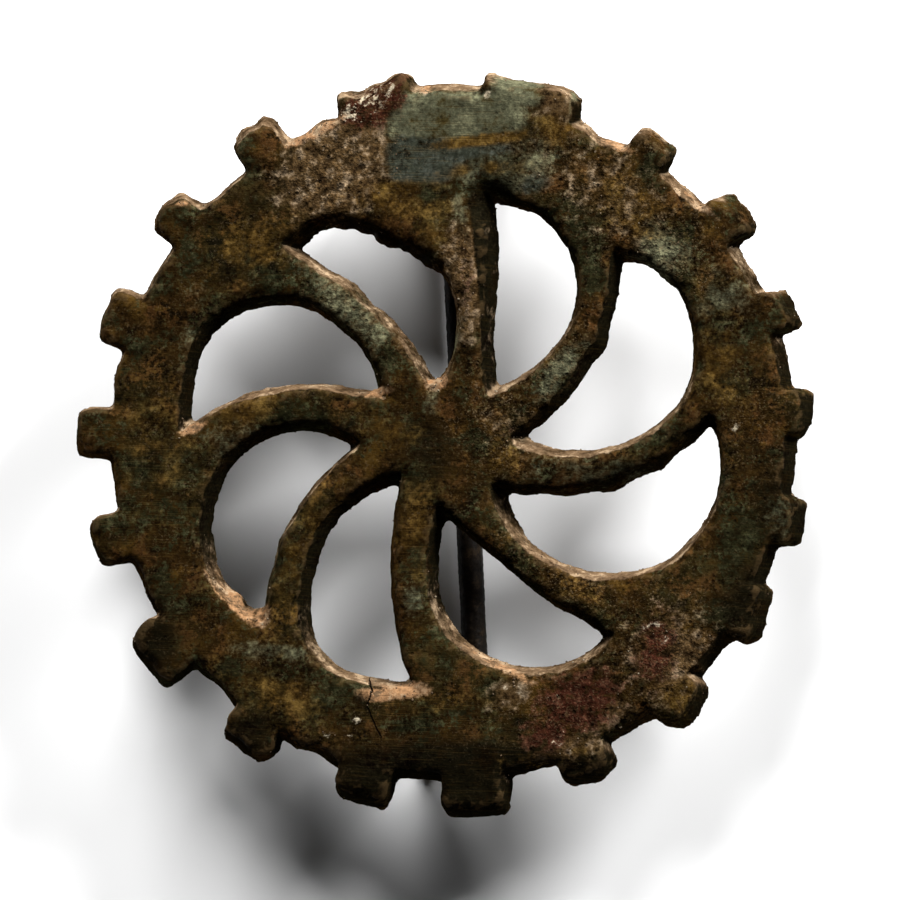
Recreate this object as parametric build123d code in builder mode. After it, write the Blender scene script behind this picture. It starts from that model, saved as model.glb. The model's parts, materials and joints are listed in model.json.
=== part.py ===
from build123d import *
from collections import namedtuple
import math
import os

os.makedirs("parts", exist_ok=True)

# Disc brooch lying on its back, face up, in millimetres.
# Z = 0 is the surface under the lugs and the catch, +Y points from the catch to the hinge.

# Toothed rim
rim_radius = 23.1          # rim between the teeth, at its back
rim_oval = 0.2             # by which the rim is wider across and lower upright
rim_shift = (0.2, 0.15)    # of the hand-cut rim off the centre that the teeth stand round
rim_band = 4.7             # metal between the rim's edge and the largest opening, at the back
disc_thickness = 2.5
wall_lean = 0.65           # how far each wall leans in from the back to the face

# Teeth
tooth_height = 1.9         # of a plain tooth beyond the rim, at the back
tooth_width = 3.5          # across a plain tooth, at the back
tooth_side_lean = 0.25     # how far a tooth's sides lean in towards the face
tooth_tip_lean = 0.75      # how far a tooth's end leans in towards the face
tooth_corner = 0.55        # rounding of a tooth's outer corners
tooth_root = 2.0           # how deep a tooth starts inside the rim

# Hinge
hinge_inset = 4.1          # from the rim's top edge down to the axle
hinge_shift = -0.87        # from the disc's centre across to the middle of the axle
pin_slope = 2.9            # degrees by which the pin runs off the disc's upright line
axle_radius = 0.6
axle_proud = 0.3           # how far each end of the axle stands out of its lug
axle_chamfer = 0.15
lug_thickness = 2.0
lug_foot = 3.4             # length of a lug where it stands
lug_root = 5.0             # length of a lug where it joins the disc
lug_corner = 0.7
root_depth = 0.6           # how deep the lugs and the catch run into the disc

# Pin
needle_radius = 0.855
point_inset = 2.1          # from the needle's point down to the rim's bottom edge
point_length = 6.5         # of the tapered end
point_radius = 0.12
foot_clearance = 0.45      # under the needle where the brooch lies on its back
cloth_gap = 4.35           # between the needle and the disc's back
head_width = 2.6
head_play = 0.2            # between the pin's head and each lug
eye_radius = 1.2
eye_play = 0.05            # between the axle and the eye, on the radius
heel_front = 1.6           # the heel's reach from the axle towards the point
heel_rear = 0.6            # the heel's reach behind the axle
heel_play = 0.2            # between the heel and the disc's back
heel_corner = 0.4
neck_swell = 0.25          # by which the needle is thicker in radius where it leaves the eye
neck_length = 1.0          # from the heel's front to where the needle is down to its own radius

# Catch
catch_length = 3.8
catch_setback = 4.0        # from the catch's near end to the pin's point
catch_wall = 0.9
catch_play = 0.35          # between the resting needle and the hook's lip
trough_play = 0.2          # spare width of the hook's trough round the needle
lip_rise = 1.9             # height of the hook's lip
catch_bend = 0.9           # radius of the hook's bends

# Sizes that follow from those above
tip_radius = rim_radius + tooth_height
opening_reach = rim_radius - rim_band
hinge_rise = rim_radius - hinge_inset
needle_length = hinge_rise + rim_radius - point_inset
neck_end = heel_front + neck_length
axle_height = needle_radius + foot_clearance
back_height = axle_height + needle_radius + cloth_gap
face_height = back_height + disc_thickness

# One row for each tooth, clockwise from the one left of the top. The turn is in degrees from +X,
# and the lean is by how many degrees the tooth stands off the line from the centre. The width is
# a share of tooth_width, and the reach of the tooth's end a share of tip_radius.
Tooth = namedtuple("Tooth", "turn lean width reach")
TEETH = [
    Tooth(102.0, -3, 1.52, 0.990),
    Tooth(76.5, 0, 1.88, 0.994),
    Tooth(54.5, 0, 0.88, 0.998),
    Tooth(38.0, 0, 0.96, 1.015),
    Tooth(21.0, 0, 0.86, 1.002),
    Tooth(4.3, -4, 0.92, 0.988),
    Tooth(346.5, 6, 0.98, 0.986),
    Tooth(330.5, 12, 1.08, 0.984),
    Tooth(312.0, 6, 1.05, 0.986),
    Tooth(293.5, 0, 1.07, 0.986),
    Tooth(274.5, -3, 1.29, 1.008),
    Tooth(256.0, 0, 1.10, 1.000),
    Tooth(235.5, 0, 1.00, 1.003),
    Tooth(215.8, 0, 1.18, 1.020),
    Tooth(195.5, -3, 0.98, 1.004),
    Tooth(178.0, 1, 0.98, 1.015),
    Tooth(159.3, 0, 1.06, 1.003),
    Tooth(140.5, 0, 0.93, 1.005),
    Tooth(122.5, 0, 0.96, 1.006),
]
# The low stretch between the first two teeth, which was never cut down to the rim.
low_stretch = Tooth(90.0, 0, 1.50, 0.958)

# One row for each opening, clockwise from the top left, in the plane of the disc's back. Each
# place is a turn in degrees from +X and a reach as a share of opening_reach. The outline leaves
# the hub's corner along one arm (near, bend), runs round the rim (round, far) to the sharp corner
# at the rim, and comes back along the arm before it (upper, lower).
Opening = namedtuple("Opening", "hub near bend round far rim upper lower")
OPENINGS = [
    Opening((103.5, 0.231), (87.5, 0.338), (91.5, 0.594), (104.5, 0.744),
            (116.5, 0.881), (128.0, 0.906), (121.0, 0.650), (112.0, 0.425)),
    Opening((49.0, 0.269), (41.5, 0.413), (44.5, 0.619), (53.5, 0.775),
            (65.5, 0.875), (79.5, 0.888), (74.5, 0.675), (68.0, 0.444)),
    Opening((4.5, 0.281), (356.0, 0.463), (11.0, 0.875), (25.0, 0.981),
            (39.5, 0.981), (46.0, 0.913), (37.0, 0.756), (22.5, 0.506)),
    Opening((320.0, 0.281), (310.5, 0.506), (324.5, 0.813), (341.0, 0.975),
            (355.5, 1.000), (3.5, 0.963), (353.0, 0.781), (338.0, 0.519)),
    Opening((268.0, 0.275), (265.0, 0.456), (270.5, 0.656), (282.0, 0.806),
            (293.5, 0.894), (309.0, 0.906), (303.0, 0.719), (292.5, 0.469)),
    Opening((220.5, 0.244), (213.5, 0.456), (226.5, 0.738), (239.0, 0.894),
            (251.0, 0.900), (260.5, 0.875), (252.5, 0.675), (240.0, 0.431)),
    Opening((183.0, 0.356), (175.0, 0.519), (184.0, 0.781), (198.0, 0.919),
            (214.5, 0.963), (222.0, 0.919), (211.5, 0.750), (199.0, 0.556)),
    Opening((145.0, 0.319), (133.5, 0.538), (139.5, 0.781), (154.0, 0.956),
            (167.5, 0.969), (175.5, 0.956), (167.5, 0.800), (155.5, 0.531)),
]

across = Vector(1, 0, 0).rotate(Axis.Z, pin_slope)
along = Vector(0, -1, 0).rotate(Axis.Z, pin_slope)
hinge_centre = Vector(hinge_shift, hinge_rise, 0)
lug_inner = head_width / 2 + head_play
lug_outer = lug_inner + lug_thickness
bore_radius = axle_radius + eye_play
lip_face = needle_radius + catch_play
trough_width = 2 * needle_radius + trough_play
catch_start = needle_length - catch_setback


def polar(turn, reach):
    angle = math.radians(turn)
    return Vector(reach * math.cos(angle), reach * math.sin(angle))


def spread(points, distance):
    """Move the points of a closed outline outward, square to the sides that meet there."""
    moved = []
    for index, point in enumerate(points):
        before = (point - points[index - 1]).normalized()
        after = (points[(index + 1) % len(points)] - point).normalized()
        out_before = Vector(before.Y, -before.X)
        out_after = Vector(after.Y, -after.X)
        reach = distance / (1 + out_before.dot(out_after))
        moved.append(point + (out_before + out_after) * reach)
    return moved


def opening_outline(opening, distance):
    """Outline of one opening, moved outward by the distance."""
    points = spread([polar(turn, reach * opening_reach) for turn, reach in opening], distance)
    with BuildLine() as outline:
        Spline(*points[:6])
        Spline(*points[5:], points[0])
    return outline.edges()


def tooth_outline(tooth, side_lean, tip_lean):
    """Outline of one tooth that stands along +X on the rim's edge."""
    root = -wall_lean - tooth_root
    end = tooth.reach * tip_radius - rim_radius - tip_lean
    half = tooth.width * tooth_width / 2 - side_lean
    with BuildLine() as outline:
        FilletPolyline((root, -half), (end, -half), (end, half), (root, half), radius=tooth_corner)
        Line((root, half), (root, -half))
    return outline.edges()


def tooth_plane(tooth, height):
    foot = polar(tooth.turn, rim_radius)
    return Plane(origin=(foot.X, foot.Y, height), x_dir=polar(tooth.turn + tooth.lean, 1), z_dir=(0, 0, 1))


def side_plane(offset):
    """Upright plane square to the axle: its x runs away from the point, its y up."""
    return Plane(origin=hinge_centre + across * offset, x_dir=-along, z_dir=across)


def end_plane(distance):
    """Upright plane square to the pin: its x runs across, its y up."""
    return Plane(origin=hinge_centre + along * distance, x_dir=across, z_dir=along)


# The openwork disc: toothed rim, arms and hub, with the lugs and the catch on its back
with BuildPart() as openwork_disc:
    # Rim blank
    for height, lean in ((back_height, 0), (face_height, wall_lean)):
        with BuildSketch(Plane.XY.offset(height)):
            with Locations(rim_shift):
                Ellipse(rim_radius + rim_oval - lean, rim_radius - rim_oval - lean)
    loft()

    # Teeth
    for tooth in TEETH + [low_stretch]:
        with BuildSketch(tooth_plane(tooth, back_height)):
            make_face(tooth_outline(tooth, 0, 0))
        with BuildSketch(tooth_plane(tooth, face_height)):
            make_face(tooth_outline(tooth, tooth_side_lean, tooth_tip_lean))
        loft()

    # Openings, cut past both faces with walls that lean the same way
    overcut = disc_thickness / 5
    overcut_lean = wall_lean * overcut / disc_thickness
    for opening in OPENINGS:
        with BuildSketch(Plane.XY.offset(back_height - overcut)):
            make_face(opening_outline(opening, -overcut_lean))
        with BuildSketch(Plane.XY.offset(face_height + overcut)):
            make_face(opening_outline(opening, wall_lean + overcut_lean))
        loft(ruled=True, mode=Mode.SUBTRACT)

    # Two lugs
    for start in (-lug_outer, lug_inner):
        with BuildSketch(side_plane(start)):
            with BuildLine():
                FilletPolyline(
                    (-lug_root / 2, back_height + root_depth),
                    (-lug_foot / 2, 0),
                    (lug_foot / 2, 0),
                    (lug_root / 2, back_height + root_depth),
                    radius=lug_corner,
                )
                Line((lug_root / 2, back_height + root_depth), (-lug_root / 2, back_height + root_depth))
            make_face()
        extrude(amount=lug_thickness)

    # Hole for the axle, through both lugs
    with BuildSketch(side_plane(-lug_outer)):
        with Locations((0, axle_height)):
            Circle(axle_radius)
    extrude(amount=2 * lug_outer, mode=Mode.SUBTRACT)

    # Catch, a plate that turns under and up again into a lip
    lip_middle = -(lip_face + catch_wall / 2)
    plate_middle = -(lip_face + catch_wall * 1.5 + trough_width)
    with BuildSketch(end_plane(catch_start)):
        with BuildLine():
            FilletPolyline(
                (plate_middle, back_height + root_depth),
                (plate_middle, catch_wall / 2),
                (lip_middle, catch_wall / 2),
                (lip_middle, lip_rise),
                radius=catch_bend,
            )
        trace(line_width=catch_wall)
    extrude(amount=catch_length)

openwork_disc.part.label = "openwork_disc"

# The axle, driven into both lugs
with BuildPart() as hinge_axle:
    with BuildSketch(side_plane(-lug_outer - axle_proud)):
        with Locations((0, axle_height)):
            Circle(axle_radius)
    extrude(amount=2 * (lug_outer + axle_proud))
    chamfer(hinge_axle.edges().filter_by(GeomType.CIRCLE), axle_chamfer)

hinge_axle.part.label = "hinge_axle"

# The pin: eye and heel between the lugs, tapered neck, straight shank and tapered point
with BuildPart() as brooch_pin:
    # Eye
    with BuildSketch(side_plane(-head_width / 2)):
        with Locations((0, axle_height)):
            Circle(eye_radius)
    extrude(amount=head_width)

    # Heel, which stops against the disc's back
    with BuildSketch(side_plane(-head_width / 2)):
        with BuildLine():
            FilletPolyline(
                (heel_rear, axle_height),
                (heel_rear, back_height - heel_play),
                (-heel_front, back_height - heel_play),
                (-heel_front, axle_height),
                radius=heel_corner,
            )
            Line((-heel_front, axle_height), (heel_rear, axle_height))
        make_face()
    extrude(amount=head_width)

    # Neck, tapered from the eye down to the shank
    with BuildSketch(end_plane(0)):
        with Locations((0, axle_height)):
            Circle(needle_radius + neck_swell)
    with BuildSketch(end_plane(neck_end)):
        with Locations((0, axle_height)):
            Circle(needle_radius)
    loft()

    # Shank
    with BuildSketch(end_plane(neck_end)):
        with Locations((0, axle_height)):
            Circle(needle_radius)
    extrude(amount=needle_length - point_length - neck_end)

    # Point
    with BuildSketch(end_plane(needle_length - point_length)):
        with Locations((0, axle_height)):
            Circle(needle_radius)
    with BuildSketch(end_plane(needle_length)):
        with Locations((0, axle_height)):
            Circle(point_radius)
    loft()

    # Hole through the eye
    with BuildSketch(side_plane(-head_width / 2)):
        with Locations((0, axle_height)):
            Circle(bore_radius)
    extrude(amount=head_width, mode=Mode.SUBTRACT)

brooch_pin.part.label = "brooch_pin"

for piece in (openwork_disc, hinge_axle, brooch_pin):
    export_step(piece.part, f"parts/{piece.part.label}.step")
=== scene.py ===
"""Looks of an old bronze disc brooch: the weathered openwork disc, its pin, the soil and the stage."""

from collections import namedtuple
import json
import math

import bmesh
import bpy
from mathutils import Matrix, Vector
import numpy as np


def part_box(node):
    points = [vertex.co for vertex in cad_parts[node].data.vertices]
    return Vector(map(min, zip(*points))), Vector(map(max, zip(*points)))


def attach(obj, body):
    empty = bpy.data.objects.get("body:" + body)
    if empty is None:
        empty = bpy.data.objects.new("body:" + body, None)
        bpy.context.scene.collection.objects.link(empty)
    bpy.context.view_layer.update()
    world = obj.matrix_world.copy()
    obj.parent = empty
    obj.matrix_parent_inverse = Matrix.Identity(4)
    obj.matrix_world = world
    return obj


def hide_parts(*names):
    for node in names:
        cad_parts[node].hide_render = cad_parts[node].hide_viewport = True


bl_info = {
    "name": "Disc brooch",
    "version": (1, 0, 0),
    "blender": (4, 5, 0),
    "location": "View3D > Sidebar > Brooch",
    "description": "Builds the surface and finish of an old bronze disc brooch",
    "category": "Object",
}

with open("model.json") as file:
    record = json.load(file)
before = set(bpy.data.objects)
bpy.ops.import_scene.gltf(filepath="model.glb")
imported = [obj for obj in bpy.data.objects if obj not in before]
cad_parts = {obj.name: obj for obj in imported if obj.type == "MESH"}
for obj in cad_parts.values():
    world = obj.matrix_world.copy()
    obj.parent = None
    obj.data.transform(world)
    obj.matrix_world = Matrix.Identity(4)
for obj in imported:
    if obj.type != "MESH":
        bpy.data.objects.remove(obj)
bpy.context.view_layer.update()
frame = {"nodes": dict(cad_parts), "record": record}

MM = 0.001

# Points of the CAD's mesh that lie closer together than this are joined
WELD_DISTANCE = 0.001 * MM

# A point on the axle's line counts as this far from it, so that its distance can be divided by
LEAST_RADIUS = 0.01 * MM

# How far each seed moves a noise, in widths of the noise's largest features
SEED_STEP = (13.7, 5.3, 9.1)

# Heights of the plate, and the line of the axle
MOUNTS = {mount["name"]: mount for mount in frame["record"]["mounts"]}
back_height = MOUNTS["garment_side"]["pos_m"][2]
face_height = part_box("openwork_disc")[1][2]
HINGE = frame["record"]["behaviour"]["joints"][0]
axle_centre = np.array(HINGE["pos_m"])
axle_line = np.array(HINGE["axis"])

# How the photograph sees the brooch: the camera leans to the right and down from straight above,
# and looks at the aim, where a pixel of the square picture is PHOTO_PIXEL wide
PHOTO_SIDE = 900
PHOTO_PIXEL = 0.067 * MM
camera_aim = Vector((-0.04, -0.483, 6.5)) * MM
camera_lean_right = math.radians(9.5)
camera_lean_down = math.radians(3.0)
view_back = Vector((
    math.sin(camera_lean_right) * math.cos(camera_lean_down),
    -math.cos(camera_lean_right) * math.sin(camera_lean_down),
    math.cos(camera_lean_right) * math.cos(camera_lean_down),
)).normalized()
view_right = Vector((math.cos(camera_lean_right), 0, -math.sin(camera_lean_right)))
view_up = view_back.cross(view_right).normalized()

# Extra metal and crust on the casting: the middle is a pixel of the photograph, "below" the depth of
# the middle under the face, and the three radii run across, along and upright, in millimetres.
Lump = namedtuple("Lump", "px py below across along upright turn")
LUMPS = [
    Lump(345, 221, 1.8, 1.00, 0.55, 0.60, 0),
    Lump(368, 224, 1.8, 1.00, 0.60, 0.70, -10),
    Lump(388, 238, 1.7, 0.85, 0.60, 0.80, -20),
    Lump(404, 240, 1.6, 0.95, 0.70, 0.85, -20),
    Lump(421, 248, 1.6, 0.90, 0.70, 0.85, -35),
    Lump(435, 260, 1.6, 0.75, 0.75, 0.85, -50),
    Lump(436, 383, 0.8, 0.45, 0.35, 0.60, 30),
    Lump(376, 395, 0.9, 0.60, 0.30, 0.60, 10),
    Lump(260, 616, 1.3, 0.45, 0.55, 0.80, 20),
    Lump(422, 690, 1.2, 0.50, 0.32, 0.80, 30),
    Lump(193, 430, 1.3, 0.50, 0.36, 0.70, 0),
    Lump(215, 580, 1.7, 0.45, 0.75, 0.60, 30),
    Lump(236, 602, 1.6, 0.45, 0.75, 0.60, 50),
    Lump(392, 692, 1.6, 0.80, 0.36, 0.60, 5),
    Lump(500, 668, 1.6, 0.80, 0.36, 0.60, -25),
]

# Where the outline was worn or bent away from the cast shape: metal within "reach" pixels of the
# place moves by "right" and "up" pixels, and the face sinks by "down" pixels.
Push = namedtuple("Push", "px py reach right up down", defaults=(0,))
PUSHES = [
    # Teeth and rim, clockwise from the top
    Push(358, 90, 24, 0, -6),
    Push(401, 78, 20, 0, 9),
    Push(450, 90, 36, 0, 3),
    Push(495, 80, 14, -6, 1),
    Push(510, 78, 24, 0, -3),
    Push(556, 90, 28, 0, 3),
    Push(584, 106, 16, 3, 0),
    Push(582, 124, 22, 5, -1),
    Push(604, 133, 26, -2, -5),
    Push(722, 196, 18, 1, -5),
    Push(752, 208, 14, 2, 1),
    Push(745, 236, 24, 4, 0),
    Push(776, 290, 16, 0, -3),
    Push(799, 322, 16, 2, -1),
    Push(812, 437, 14, -5, 3),
    Push(738, 639, 20, 1, -5),
    Push(704, 672, 18, 4, 0),
    Push(692, 718, 24, 4, -5),
    Push(655, 718, 16, 0, -3),
    Push(596, 776, 22, 2, -5),
    Push(514, 784, 16, 3, 0),
    Push(418, 778, 22, 0, 2),
    Push(340, 796, 14, 2, 1),
    Push(312, 748, 18, 0, 2),
    Push(336, 764, 18, -1, -5),
    Push(300, 744, 24, 0, -4),
    Push(272, 748, 20, 4, -4),
    Push(232, 744, 18, 2, 2),
    Push(230, 714, 14, -3, 0),
    Push(216, 686, 24, 2, 3),
    Push(158, 680, 16, 1, 1),
    Push(146, 620, 24, -3, 4),
    Push(142, 578, 22, 2, 0),
    Push(95, 540, 28, -3, 0),
    Push(92, 455, 20, 0, 3),
    Push(84, 430, 30, -2, 1),
    Push(120, 375, 30, -4, 0),
    Push(108, 320, 18, -4, 0),
    Push(116, 298, 26, -1, 4),
    Push(135, 294, 16, 0, 3),
    Push(166, 212, 20, -4, 3),
    Push(203, 202, 14, 0, 4),
    Push(244, 126, 20, -4, 4),
    Push(264, 120, 12, -2, 4),
    Push(292, 134, 16, 0, 3),
    Push(324, 124, 26, -1, 6),
    # Arms
    Push(350, 285, 30, 2, 3),
    Push(520, 206, 30, 0, -3),
    Push(305, 242, 20, 2, -2),
    Push(445, 325, 34, -2, 0),
    Push(265, 305, 34, 0, -2),
    Push(355, 388, 26, 0, -2),
    Push(632, 262, 20, 0, -2),
    Push(588, 384, 28, 2, -1),
    Push(600, 345, 26, 4, -2),
    Push(665, 272, 26, -1, -3),
    Push(615, 492, 24, 0, -4),
    Push(660, 465, 22, 1, -3),
    Push(545, 493, 24, 0, 2),
    Push(668, 560, 36, 1, -2),
    Push(580, 618, 26, 1, 4),
    Push(403, 662, 22, -2, 0),
    Push(240, 590, 26, 1, 1),
    Push(278, 532, 26, -2, 0),
    # The wide wall beside the arm at the top
    Push(494, 204, 36, 0, 0, 16),
    Push(503, 236, 30, 0, 0, 12),
    Push(503, 268, 28, 0, 0, 9),
    Push(503, 300, 26, 0, 0, 9),
    Push(503, 332, 22, 0, 0, 8),
]

# Patches on the face, as stretched ovals in pixels of the photograph, by the mask that they paint.
# The turn is anticlockwise, the edge is the soft share of the radius, and a square of 2 is an oval
# and more is boxier.
Patch = namedtuple("Patch", "px py across along turn strength edge square", defaults=(0.9, 2))
PATCHES = {
    # Smooth green-grey skin at the top, and green stains
    "green": [
        Patch(455, 117, 66, 26, 0, 1.0, 0.35, 5),
        Patch(500, 158, 60, 34, 0, 0.5, 1.0),
        Patch(518, 88, 28, 18, -8, 0.9, 0.5, 4),
        Patch(552, 80, 26, 5, -10, 0.6, 0.8),
        Patch(460, 214, 9, 22, 20, 0.42, 1.0),
        Patch(522, 168, 44, 24, 20, 0.5, 1.0),
        Patch(577, 104, 8, 18, 0, 0.8),
        Patch(662, 255, 44, 34, -40, 0.58),
        Patch(725, 300, 30, 40, 30, 0.5),
        Patch(782, 515, 18, 22, 0, 0.4),
        Patch(352, 312, 58, 20, -40, 0.54),
        Patch(285, 655, 52, 12, -6, 0.5),
        Patch(412, 600, 14, 18, 0, 0.5),
        Patch(565, 370, 40, 16, 50, 0.7),
        Patch(455, 330, 16, 30, 0, 0.5),
        Patch(230, 460, 40, 30, 30, 0.45),
        Patch(310, 460, 40, 18, 0, 0.35),
        Patch(432, 402, 9, 16, 0, 0.5),
        Patch(590, 470, 90, 20, 5, 0.45),
        Patch(200, 330, 26, 40, 0, 0.35),
    ],
    # Blue-grey skin below it
    "blue": [
        Patch(420, 160, 34, 24, 0, 1.0, 0.45, 3),
        Patch(456, 154, 34, 9, 6, 0.9),
        Patch(480, 150, 40, 14, 4, 0.5, 0.6, 3),
        Patch(533, 184, 15, 10, 20, 0.7, 1.0),
    ],
    # Golden brown metal
    "gold": [
        Patch(484, 140, 60, 6, 7, 0.9),
        Patch(486, 169, 44, 7, 7, 0.6),
        Patch(402, 188, 44, 8, 3, 0.6),
        Patch(250, 250, 50, 28, 20, 0.6),
        Patch(720, 365, 26, 50, 10, 0.6),
        Patch(440, 704, 64, 15, 0, 0.32, 0.8, 3),
        Patch(388, 428, 34, 26, 0, 0.5),
        Patch(496, 462, 26, 20, 0, 0.5),
        Patch(155, 440, 44, 70, 0, 0.4),
        Patch(300, 560, 24, 90, -14, 0.5),
        Patch(420, 530, 20, 50, 0, 0.5),
        Patch(270, 690, 60, 24, -25, 0.5),
        Patch(240, 410, 50, 16, 12, 0.55),
        Patch(560, 575, 60, 20, -35, 0.4),
        Patch(560, 130, 30, 20, -20, 0.6),
        Patch(640, 215, 60, 26, -45, 0.5),
        Patch(400, 205, 70, 14, -10, 0.48),
        Patch(440, 230, 22, 16, 0, 0.42),
        Patch(688, 700, 36, 24, -20, 0.62),
        Patch(560, 750, 46, 12, 15, 0.5),
    ],
    # Pinkish granular skin
    "pink": [
        Patch(335, 168, 62, 44, 35, 1.0, 0.7),
        Patch(464, 280, 28, 62, -8, 1.0, 0.8),
        Patch(605, 190, 80, 44, -40, 0.48),
        Patch(672, 655, 44, 46, -20, 0.75),
        Patch(557, 103, 26, 16, -10, 0.9),
        Patch(500, 425, 22, 20, 0, 0.5),
        Patch(510, 692, 24, 14, 20, 0.8),
        Patch(572, 746, 50, 12, 15, 0.7),
        Patch(612, 716, 12, 30, -20, 0.7),
    ],
    # Red oxide
    "red": [
        Patch(372, 106, 34, 20, 25, 1.0, 0.8),
        Patch(390, 84, 28, 9, 24, 1.0, 0.8),
        Patch(466, 285, 16, 40, -8, 0.4),
        Patch(512, 432, 16, 12, 0, 0.4),
        Patch(655, 650, 22, 42, -10, 0.7),
        Patch(578, 700, 44, 34, 20, 0.8),
        Patch(545, 735, 26, 20, 0, 0.7),
    ],
    # Cream and beige crust
    "cream": [
        Patch(372, 98, 26, 12, 25, 0.45, 1.0),
        Patch(350, 112, 16, 10, 10, 0.4, 1.0),
        Patch(425, 93, 6, 4, 0, 0.7),
        Patch(487, 96, 4, 8, 0, 0.7),
        Patch(508, 694, 16, 8, 0, 0.22, 1.0),
        Patch(572, 742, 30, 12, 10, 0.14, 1.0),
        Patch(655, 622, 12, 16, 20, 0.22, 1.0),
        Patch(735, 428, 4, 4, 0, 0.6),
        Patch(357, 720, 7, 5, 0, 0.38, 1.0),
        Patch(335, 733, 14, 2, 0, 0.48),
    ],
    # Nearly black zones, partly dark patina and partly painted shade, which makes the face darker towards
    # the bottom
    "dark": [
        Patch(470, 785, 150, 46, 0, 1.0, 0.6, 3),
        Patch(600, 770, 50, 34, 20, 0.8),
        Patch(750, 600, 34, 56, -20, 0.8),
        Patch(775, 500, 34, 60, 0, 0.6),
        Patch(428, 452, 30, 46, 0, 0.6),
        Patch(150, 640, 34, 44, 0, 0.75),
        Patch(245, 735, 40, 34, 0, 0.7),
        Patch(620, 472, 70, 16, 6, 0.6),
        Patch(264, 184, 36, 22, 40, 0.5),
    ],
    # Where the walls hold no soil
    "bare": [
        Patch(800, 480, 64, 130, 0, 1.0, 0.4),
        Patch(755, 620, 50, 50, 0, 1.0, 0.4),
        Patch(664, 138, 22, 14, -40, 0.9, 0.5),
        Patch(742, 208, 24, 14, -50, 0.9, 0.5),
        Patch(795, 305, 22, 20, -50, 0.9, 0.5),
    ],
    # Painted shade on the wall beside the arm at the top, which is painted nearly black
    "shade": [
        Patch(485, 264, 10, 76, 6, 1.0, 0.4, 4),
        Patch(482, 208, 17, 10, -20, 1.0, 0.6),
    ],
    # Sandy soil caught in corners and on walls
    "soil": [
        Patch(436, 381, 11, 9, 0, 0.9),
        Patch(378, 392, 16, 6, 10, 0.7),
        Patch(262, 616, 8, 12, 0, 0.8),
        Patch(231, 592, 40, 11, -50, 0.7, 0.6, 3),
        Patch(424, 690, 10, 5, 20, 0.7),
        Patch(394, 691, 38, 9, 6, 0.75, 0.6, 3),
        Patch(505, 667, 46, 6, -30, 0.6),
        Patch(182, 203, 9, 4, 0, 0.7),
        Patch(193, 428, 14, 6, 20, 0.8),
        Patch(316, 131, 34, 6, 28, 0.85, 0.7),
        Patch(425, 88, 8, 6, 0, 0.7),
        Patch(698, 204, 30, 5, -42, 0.62, 0.7),
        Patch(757, 279, 28, 4, -60, 0.6, 0.7),
        Patch(611, 142, 30, 5, -28, 0.62, 0.7),
    ],
    # Where the face is rougher than elsewhere, and where it is smoother
    "rough": [
        Patch(335, 168, 66, 48, 35, 1.0, 0.7),
        Patch(372, 104, 40, 24, 20, 1.0, 0.8),
        Patch(464, 280, 30, 58, -8, 0.9, 0.8),
        Patch(600, 200, 80, 50, -40, 0.8),
        Patch(665, 255, 50, 40, -40, 1.0, 0.8),
        Patch(540, 360, 60, 50, 30, 0.9),
        Patch(500, 425, 44, 50, 0, 0.9, 0.8),
        Patch(560, 575, 80, 30, -35, 0.9),
        Patch(665, 650, 60, 60, 0, 1.0),
        Patch(570, 715, 60, 40, 10, 0.8),
        Patch(345, 305, 60, 26, -35, 0.7),
        Patch(750, 440, 44, 60, 0, 0.5),
    ],
    "smooth": [
        Patch(425, 130, 60, 60, 0, 1.0, 0.4, 4),
        Patch(440, 710, 70, 40, 0, 0.8, 0.6, 3),
        Patch(150, 480, 60, 110, 0, 0.5),
        Patch(418, 545, 22, 60, 0, 0.8),
    ],
}

# The crack through the rim at the bottom left, from its top to its bottom
CRACK = [(370, 680), (372, 690), (367, 705), (372, 718), (380, 735)]
FAR_FROM_CRACK = 50 * MM

# Sizes of the clouds of tone that the surface carries with it
CLOUD_SIZES = {
    "drift": 6 * MM,
    "stains": 3.4 * MM,
    "clouds": 2.2 * MM,
    "puffs": 1.3 * MM,
    "flecks": 0.8 * MM,
}

# Sizes of the weathering that the disc and the pin each have in their look
SKIN_SIZES = ("sink", "wave_depth", "wave_size", "pit_depth", "pit_size", "chip_depth", "chip_size")


def smoothstep(low, high, value):
    share = np.clip((value - low) / (high - low), 0, 1)
    return share * share * (3 - 2 * share)


def rise(points, start, end):
    """Grows from 0 to 1 between two heights in millimetres over the plate's back."""
    return smoothstep(back_height + start * MM, back_height + end * MM, points[:, 2])


def photo_pixels(points):
    """Column and row of the photograph that show each point."""
    offset = points - np.array(camera_aim)
    column = PHOTO_SIDE / 2 + offset @ np.array(view_right) / PHOTO_PIXEL
    row = PHOTO_SIDE / 2 - offset @ np.array(view_up) / PHOTO_PIXEL
    return column, row


def photo_point(px, py, height):
    """The point at a height that the photograph shows in a pixel."""
    start = camera_aim + view_right * (px - PHOTO_SIDE / 2) * PHOTO_PIXEL
    start -= view_up * (py - PHOTO_SIDE / 2) * PHOTO_PIXEL
    return start + view_back * ((height - start.z) / view_back.z)


def patch_strength(patch, column, row):
    """How strongly a patch covers each place."""
    turn = math.radians(patch.turn)
    right = column - patch.px
    up = patch.py - row
    across = np.abs(right * math.cos(turn) + up * math.sin(turn)) / patch.across
    along = np.abs(up * math.cos(turn) - right * math.sin(turn)) / patch.along
    reach = (across ** patch.square + along ** patch.square) ** (1 / patch.square)
    return patch.strength * (1 - smoothstep(1 - patch.edge, 1 + patch.edge, reach))


def crack_offset(column, row):
    """Signed distance in metres from the crack, which stays large beyond its ends."""
    points = np.array(CRACK, float)
    middle = np.interp(row, points[:, 1], points[:, 0])
    beyond = np.maximum(points[0, 1] - row, 0) + np.maximum(row - points[-1, 1], 0)
    aside = column - middle
    return (aside + np.where(aside < 0, -beyond, beyond)) * PHOTO_PIXEL


def mesh_points(mesh):
    points = np.empty(len(mesh.vertices) * 3, np.float32)
    mesh.attributes["position"].data.foreach_get("vector", points)
    return points.reshape(-1, 3).astype(float)


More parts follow.
